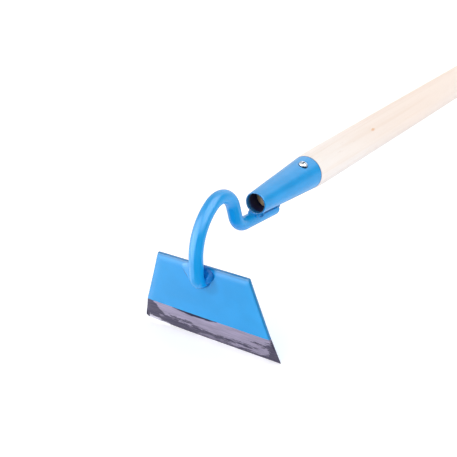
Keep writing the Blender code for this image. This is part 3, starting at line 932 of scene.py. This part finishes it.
def bladeFinish(objectPlace):
    # blue enamel down to a nearly straight line, then bare steel; on the back the enamel goes on
    # down to a thin chipped line
    size = bladeSizes
    look = steelLook
    place = onPlate(objectPlace)
    x, depth, z = split(place)
    down = size["stubBelowTop"] - z
    fromBack = size["thickness"] - depth
    wobble = swing(noise(place, *size["paintNoise"]), size["paintUneven"])
    line = x * size["paintSlope"] + size["paintEnd"]
    bare = above(down + wobble, line, size["paintSoft"])
    backBare = above(down + patches(place, *size["backWear"]), size["height"], 0.0001)
    bare = bare * (1.0 - ramp(fromBack, *look["onBack"]) * (1.0 - backBare))

    onFront = ramp(depth, *look["onFront"])
    onEdge = ramp(depth, *look["offFront"]) * ramp(fromBack, *look["offBack"])
    # the sheared edges are painted darker, as shade
    paint = shade(enamelColor(objectPlace), toned(onEdge, look["edgeShadeTone"]))
    # a painted shadow line along the skirt's step
    creaseShadow = onFront * streakShare(x, down, *size["creaseShadow"])
    paint = mixColor(creaseShadow, paint, enamelLook["creaseShadow"])
    # a painted shadow on the plate under the weld
    shadowX, shadowDown = size["weldShadowPlace"]
    away = distanceTo(place, (shadowX, 0.0, size["stubBelowTop"] - shadowDown))
    paint = mixColor(onFront * ramp(away, *size["weldShadow"]), paint, enamelLook["weldShadow"])

    steel, fine = groundSteel(place, x, down)
    painted = 1.0 - bare
    roughness = bare * ramp(fine, *look["roughness"]) + painted * patches(objectPlace, *enamelLook["sheen"])
    height = bare * (fine * look["scratchDepth"]) + painted * (enamelHeight(objectPlace) + look["paintStep"])
    return {"Base Color": mixColor(bare, paint, steel), "Metallic": bare * look["metallic"],
            "Roughness": roughness, "Normal": bump(height, enamelLook["peelDepth"])}


# Fixing screw

screwSizes = {
    "headRadius": 0.004, "dome": 0.0022,
    "rimDrop": 0.0002,  # the head's rim sits this far below the cone's skin
    "rimBevel": (0.00015, 0.0003, 0.0001),  # in from the rim, down to its foot and its top
    "underside": 0.0018, "shankRadius": 0.00225, "length": 0.02, "tip": 0.004, "tipRadius": 0.0004,
    "crossLength": 0.0052, "crossWidth": 0.0012, "crossDepth": 0.0014,
    "crossWall": 0.00025,  # its walls lean by this much
    "turn": 6.0, "sides": 96, "domeSteps": 40,
}

zincLook = {
    "dull": (0.36, 0.4, 0.44), "bright": (0.54, 0.59, 0.64), "recessShade": (0.03, 0.04, 0.05),
    "tone": (900.0, 4.0, 0.3, 0.7), "roughness": (0.0, 1.0, 0.18, 0.34), "grain": (2200.0, 2.0),
    "grainDepth": 0.00002,
}


def brightZinc(place):
    # mottled zinc, painted dark as shade where the attribute is 1
    tone = patches(place, *zincLook["tone"])
    recessShade = addNode("Attribute", "Fac", {}, place.tree, attribute_name="recessShade")
    # painted shade in the cross and under the head
    color = mixColor(recessShade, mixColor(tone, zincLook["dull"], zincLook["bright"]), zincLook["recessShade"])
    grain = noise(place, *zincLook["grain"])
    return {"Base Color": color, "Metallic": 1.0, "Roughness": ramp(tone, *zincLook["roughness"]),
            "Normal": bump(grain, zincLook["grainDepth"])}


def makeScrew():
    # rings of (radius, height) round the screw's line: shank, underside, rim, dome; on the dome
    # the height sinks inside a plus sign whose walls slope a little
    size = screwSizes
    head, shank, length = (size[key] for key in ("headRadius", "shankRadius", "length"))
    bevelIn, bevelFoot, bevelTop = size["rimBevel"]
    rim = -size["rimDrop"]
    lower = np.array([(size["tipRadius"], -length), (shank, size["tip"] - length),
                      (shank, rim - size["underside"]), (head - bevelIn, rim - bevelFoot),
                      (head, rim - bevelTop)])
    rise = np.linspace(0, math.pi / 2, size["domeSteps"])[1:-1]
    radius = np.append(lower[:, 0], head * np.cos(rise))[:, None]
    height = np.append(lower[:, 1], rim + (size["dome"] - rim) * np.sin(rise))[:, None]
    angle, turn = fullTurn(size["sides"]), math.radians(size["turn"])
    u, v = np.abs(radius * np.cos(angle - turn)), np.abs(radius * np.sin(angle - turn))
    halfLength, halfWidth = size["crossLength"] / 2, size["crossWidth"] / 2
    arms = np.maximum(np.minimum(halfLength - u, halfWidth - v), np.minimum(halfLength - v, halfWidth - u))
    ring = np.arange(len(radius))[:, None]
    inCross = fade(arms, 0.0, size["crossWall"]) * (ring >= len(lower))
    centre, outward = screwPlace()
    across = np.cross([0.0, 1.0, 0.0], outward)
    across /= np.linalg.norm(across)
    along = np.cross(outward, across)
    rings = (centre + (radius * np.cos(angle))[..., None] * across
             + (radius * np.sin(angle))[..., None] * along
             + (height - size["crossDepth"] * inCross)[..., None] * outward)
    mesh = tubeMesh("fixingScrew", rings)
    # painted shade in the cross and under the head's rim, one value per point and one for each end
    recessShade = np.append(np.maximum(inCross, ring < len(lower) - 1), [1.0, 1.0])
    mesh.attributes.new("recessShade", "FLOAT", "POINT").data.foreach_set("value", recessShade)
    addPiece(mesh, newMaterial(brightZinc), "fixing_screw", 38.0)


# Wooden handle

handleSizes = {
    "inset": 0.0165, "gap": 0.0003, "chamfer": 0.0008, "shoulderRadius": 0.0161,
    "shoulderLength": 0.023, "afterRadius": 0.0173, "gripRadius": 0.0178, "swell": 0.2,
    "buttRounding": 0.006, "uneven": 0.00011,
    "unevenFrom": 0.02,  # it grows over this length behind the socket
    "sides": 128, "steps": 220,
}

birchLook = {
    "pale": (0.97, 0.91, 0.87), "warm": (0.95, 0.84, 0.77), "warmth": (28.0, 3.0, 0.35, 0.7),
    "warmthStretch": 0.12, "line": (0.8, 0.62, 0.48),
    "bands": (170.0, 4.0, 0.55, 0.6),  # scale, detail, roughness and distortion of the grain
    "bandStretch": 0.02, "bandLimits": (0.42, 0.62), "grain": 0.19, "underside": (0.86, 0.87, 0.92),
    "undersideReach": (-0.016, 0.006, 1.0, 0.0),  # painted shade on the underside, in heights over the handle's axis
    "peach": (0.95, 0.8, 0.7),
    "peachReach": (0.13, 0.34, 0.0, 0.55),  # along the handle
    "pore": (0.55, 0.38, 0.26), "pores": (1500.0, 2.0, 0.67, 0.75, 0.0, 0.22), "poreStretch": 0.045,
    "knot": (0.8, 0.46, 0.22), "knotAlong": 0.2032, "knotRoll": 44.0, "knotStretch": 0.38,
    "knotNoise": (700.0, 2.0), "knotUneven": 0.0012, "knotEdge": (0.0006, 0.0019, 0.75, 0.0),
    "endEdge": (0.0003, 0.0008, 1.0, 0.0),
    "endShade": (-0.0088, -0.0036, 0.4, 1.25),  # painted shade: the sawn end gets lighter from one x to the other
    "roughness": (0.3, 0.7, 0.48, 0.62), "specular": 0.25, "grainDepth": 0.00008, "bandHeight": 0.6,
    "poreHeight": 1.2,
}


def knotDistance(own):
    # distance from the knot's middle with y shortened, plus or minus a little noise
    look, radius = birchLook, handleSizes["afterRadius"]
    roll = math.radians(look["knotRoll"])
    middle = (radius * math.sin(roll), look["knotAlong"] * look["knotStretch"], radius * math.cos(roll))
    squeezed = stretch(own, 1.0, look["knotStretch"], 1.0)
    return distanceTo(squeezed, middle) + swing(noise(own, *look["knotNoise"]), look["knotUneven"])


def palePlainBirch(place):
    # straight grain along the handle, slow warm patches, fine pores, one small knot speck; painted
    # shade below and across the sawn end, warmer towards the butt
    look = birchLook
    own = ownPlace(place, mouthCentre, 0.0)
    x, along, z = split(own)
    warmth = patches(stretch(own, 1.0, look["warmthStretch"], 1.0), *look["warmth"])
    color = mixColor(warmth, look["pale"], look["warm"])
    color = mixColor(ramp(along, *look["peachReach"]), color, look["peach"])
    bands = noise(stretch(own, 1.0, look["bandStretch"], 1.0), *look["bands"])
    color = mixColor(ramp(bands, *look["bandLimits"]) * look["grain"], color, look["line"])
    pores = patches(stretch(own, 1.0, look["poreStretch"], 1.0), *look["pores"])
    color = mixColor(pores, color, look["pore"])
    color = mixColor(ramp(knotDistance(own), *look["knotEdge"]), color, look["knot"])
    # painted shade: darker below the handle's axis
    color = mixColor(ramp(z, *look["undersideReach"]), color, look["underside"], "MULTIPLY")
    start, end, none, whole = look["endEdge"]
    inset = handleSizes["inset"]
    # painted shade across the sawn end, darker towards the socket's wall
    endGrain = shade(insideLook["endGrain"], ramp(x, *look["endShade"]))
    color = mixColor(ramp(along, inset + start, inset + end, none, whole), color, endGrain)
    height = bands * look["bandHeight"] - pores * look["poreHeight"]
    return {"Base Color": color, "Roughness": ramp(bands, *look["roughness"]),
            "Specular IOR Level": look["specular"], "Normal": bump(height, look["grainDepth"])}


def makeHandle():
    # a profile of (along, radius) turned round its own line: the part in the cone, the shoulder,
    # the swell, the grip and the butt, a hair out of round all the way
    size = handleSizes
    start, chamfer, end, butt = size["inset"], size["chamfer"], headPlace["handleEnd"], size["buttRounding"]
    shoulder, after, grip = size["shoulderRadius"], size["afterRadius"], size["gripRadius"]
    rim = socketSizes["length"] + size["gap"]
    shoulderEnd = rim + size["shoulderLength"]
    inside = wallAcross + size["gap"] / math.cos(coneAngle)
    inCone = np.linspace(start + chamfer, rim, 40)
    bulge = np.linspace(0, math.pi / 2, 24)
    share = np.linspace(0, 1, 60)[1:]
    straight = np.linspace(shoulderEnd + size["swell"], end - butt, size["steps"])[1:]
    along = np.r_[start, inCone, rim + size["shoulderLength"] * (1 - np.cos(bulge)),
                  shoulderEnd + size["swell"] * share, straight,
                  end - butt + butt * np.sin(bulge)[1:], end][:, None]
    radius = np.r_[coneRadius(start) - inside - chamfer, coneRadius(inCone) - inside,
                   shoulder + (after - shoulder) * np.sin(bulge), after + (grip - after) * share,
                   np.full(len(straight), grip), grip - butt + butt * np.cos(bulge)[1:],
                   (grip - butt) * 0.5][:, None]
    roll = fullTurn(size["sides"])
    rings = aroundSocket(along, radius, roll)
    waves = slowWaves(rings * [1.0, 0.2, 1.0], 31, 0.012)
    uneven = size["uneven"] * fade(along, rim, rim + size["unevenFrom"]) * (waves - 1.0)
    mesh = tubeMesh("woodHandle", aroundSocket(along, radius + uneven, roll))
    addPiece(mesh, newMaterial(palePlainBirch), "handle", 35.0)


makeNeckBar()
makeSocket()
makeSocketWelds()
makeBladeWeld()
makeBlade()
makeScrew()
makeHandle()


# Studio

studio = {
    "cameraPlace": (0.365669, -0.563888, 0.281035),  # in the head's frame
    "cameraRight": (0.82625, 0.56312, -0.01414), "cameraUp": (-0.22232, 0.34907, 0.91034),
    "lens": 66.96, "floorColor": (0.94, 0.945, 0.95), "floorRoughness": 0.9, "floorGlow": 0.25,
    "floorSize": 14.0,
    "keyPlace": (-1.2, -1.0, 1.5),  # from the head
    "keySize": 1.4, "keyEnergy": 2.0,
}


def makeCamera():
    data = bpy.data.cameras.new("photoCamera")
    data.lens = studio["lens"]
    data.sensor_width = 36.0
    camera = addObject("photoCamera", data)
    right = headTurn @ np.array(studio["cameraRight"])
    up = headTurn @ np.array(studio["cameraUp"])
    turn = Matrix(pack(right, up, np.cross(right, up)).tolist()).normalized().to_4x4()
    camera.matrix_world = Matrix.Translation(toWorld(studio["cameraPlace"]).tolist()) @ turn
    bpy.context.scene.camera = camera


def paleFloor(place):
    return {"Base Color": studio["floorColor"], "Roughness": studio["floorRoughness"],
            "Emission Color": (1.0, 1.0, 1.0), "Emission Strength": studio["floorGlow"]}


def makeFloor():
    size, ground = studio["floorSize"], cadLow[2]
    mesh = bpy.data.meshes.new("floor")
    mesh.from_pydata([(-size, -size, ground), (size, -size, ground), (size, size, ground),
                      (-size, size, ground)], [], [(0, 1, 2, 3)])
    mesh.materials.append(newMaterial(paleFloor))
    floor = addObject("floor", mesh)
    floor.visible_glossy = False      # the room's own light shows in the enamel instead


# Each lobe is a direction, the brightness it adds and the two cosines between which it fades in.
roomLight = {
    "even": 0.82,
    "evenLobes": [((0.1, -0.3, 0.95), 0.18, 0.0, 1.0)],
    "shine": 0.95,
    "shineLobes": [
        ((-0.35, -0.85, 0.32), 5.6, 0.6, 0.95),  # large soft box, front left
        ((0.62, -0.05, 0.78), 4.6, 0.62, 0.93),  # another overhead, to the right
        ((-0.9, -0.4, -0.1), 1.6, 0.75, 0.97),
        ((0.0, 0.8, 0.6), 0.8, 0.75, 0.98),
        ((0.72, -0.66, -0.3), -3.0, 0.62, 0.9),  # the dark side of the room
        ((0.92, 0.1, -0.42), -1.2, 0.86, 0.98),
        ((0.7, 0.66, 0.27), -0.6, 0.9, 0.985),
        ((-0.55, 0.64, -0.54), -0.3, 0.82, 0.98),  # keeps the grazing edges from going white
    ],
}


def brightness(direction, level, lobes):
    for towards, amount, low, high in lobes:
        unit = tuple(np.array(towards) / np.linalg.norm(towards))
        facing = addNode("VectorMath", "Value", {0: direction, 1: unit}, operation="DOT_PRODUCT")
        level = ramp(facing, low, high, 0.0, amount) + level
    return calc("MAXIMUM", level, 0.0)


def makeRoom():
    # an even light for all that scatters it, soft boxes for what shines, white behind it all
    world = bpy.data.worlds.new("room")
    bpy.context.scene.world = world
    world.use_nodes = True
    tree = world.node_tree
    tree.nodes.clear()
    direction = addNode("TexCoord", "Generated", {}, tree)
    glossy = addNode("LightPath", "Is Glossy Ray", {}, tree)
    even = brightness(direction, roomLight["even"], roomLight["evenLobes"])
    shine = brightness(direction, roomLight["shine"], roomLight["shineLobes"])
    lights = [addNode("Background", "Background", {"Color": (1.0, 1.0, 1.0), "Strength": strength}, tree)
              for strength in (even, shine, 1.0)]
    lit = addNode("MixShader", "Shader", {0: glossy, 1: lights[0], 2: lights[1]})
    seen = addNode("MixShader", "Shader", {0: Wire(glossy.node, "Is Camera Ray"), 1: lit, 2: lights[2]})
    feed(tree.nodes.new("ShaderNodeOutputWorld"), {"Surface": seen})


def makeKeyLight():
    data = bpy.data.lights.new("softKey", "AREA")
    data.shape = "DISK"
    data.size = studio["keySize"]
    data.energy = studio["keyEnergy"]
    lamp = addObject("softKey", data)
    lamp.location = headOrigin + studio["keyPlace"]
    back = np.array(studio["keyPlace"]) / np.linalg.norm(studio["keyPlace"])
    side = np.cross([0.0, 0.0, 1.0], back)
    side /= np.linalg.norm(side)
    lamp.rotation_euler = Matrix(pack(side, np.cross(back, side), back).tolist()).to_euler()


makeCamera()
makeFloor()
makeRoom()
makeKeyLight()
bpy.context.scene.view_settings.view_transform = "Standard"
print("hoe: studio ready")
